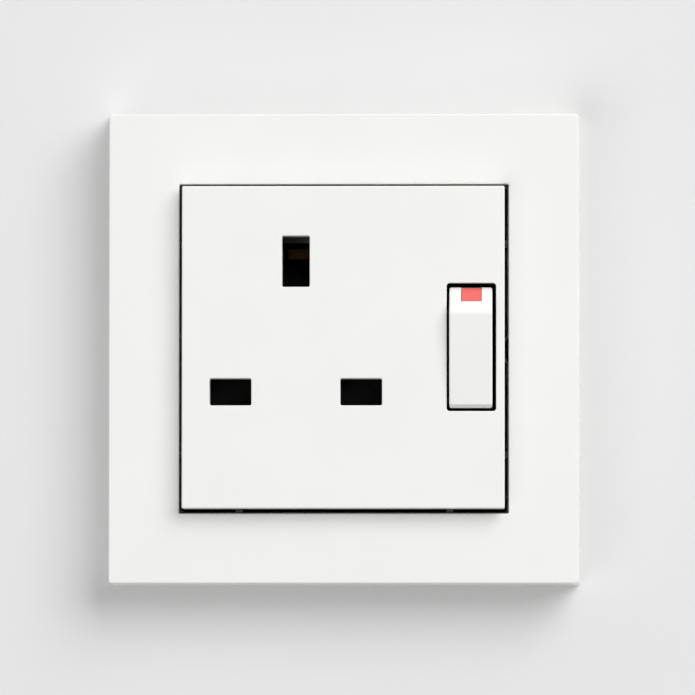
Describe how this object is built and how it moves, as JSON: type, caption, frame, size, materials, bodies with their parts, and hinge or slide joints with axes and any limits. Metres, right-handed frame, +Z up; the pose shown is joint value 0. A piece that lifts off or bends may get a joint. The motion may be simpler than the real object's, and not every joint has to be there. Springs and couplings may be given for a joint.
{
  "type": "switched single socket",
  "caption": "Flush switched socket outlet: square cover frame, raised insert with pin slots, shutter and rocker switch, contacts, terminals and yoke for a wall box",
  "frame": {"origin": "centre of the cover frame, in the plane of the wall that its back edge stands on", "axes": "+Y points into the wall, along the fixing screws; +Z is up; +X is to the right for someone who faces the socket"},
  "size_m": [0.0808, 0.0379, 0.0808],
  "materials": {
    "white_thermoset": "glossy moulded urea",
    "red_polycarbonate": "glossy red window",
    "black_nylon": "moulded nylon",
    "grey_nylon": "moulded nylon",
    "zinc_plated_steel": "bright zinc plate",
    "brass": "stamped brass sheet",
    "spring_steel": "drawn spring wire"
  },
  "bodies": {
    "housing": {"cover_frame": "white_thermoset", "cover_plate": "white_thermoset", "shutter_spring": "spring_steel", "shutter_carrier": "black_nylon", "support_yoke": "zinc_plated_steel", "socket_base": "grey_nylon", "neutral_contact": "brass", "live_contact": "brass", "fixed_contact": "brass", "earth_contact": "brass", "earth_strap": "brass", "neutral_terminal": "brass", "live_terminal": "brass", "earth_terminal": "brass", "neutral_screw": "zinc_plated_steel", "live_screw": "zinc_plated_steel", "earth_screw": "zinc_plated_steel", "body_screw_1": "zinc_plated_steel", "body_screw_2": "zinc_plated_steel", "body_screw_3": "zinc_plated_steel", "fixing_screw_left": "zinc_plated_steel", "fixing_screw_right": "zinc_plated_steel", "strap_rivet_yoke": "brass", "strap_rivet_contact": "brass"},
    "rocker": {"rocker": "white_thermoset", "rocker_marker": "red_polycarbonate", "plunger_spring": "spring_steel"},
    "plunger": {"plunger": "grey_nylon"},
    "moving_contact": {"moving_contact": "brass"},
    "shutter": {"shutter": "black_nylon"}
  },
  "joints": [
    {"name": "rocker_tilt", "type": "hinge", "parent": "housing", "child": "rocker", "pos_m": [0.0218, -0.007, 0], "axis": [-1, 0, 0], "range_deg": [0, 11]},
    {"name": "moving_contact_rock", "type": "hinge", "parent": "housing", "child": "moving_contact", "pos_m": [0.0218, 0.00477, 0], "axis": [1, 0, 0], "range_deg": [0, 20]},
    {"name": "plunger_slide", "type": "slide", "parent": "rocker", "child": "plunger", "axis": [0, -0.9954, -0.0958], "range_m": [0, 0.001], "stiffness_N_per_m": 400, "springref_m": -0.0015, "deforming": ["plunger_spring"]},
    {"name": "shutter_slide", "type": "slide", "parent": "housing", "child": "shutter", "axis": [0, 0, -1], "range_m": [0, 0.0056], "stiffness_N_per_m": 300, "springref_m": -0.0035, "deforming": ["shutter_spring"]}
  ],
  "couplings": [
    {"joint": "moving_contact_rock", "follows": "rocker_tilt", "ratio": 1.8182}
  ]
}
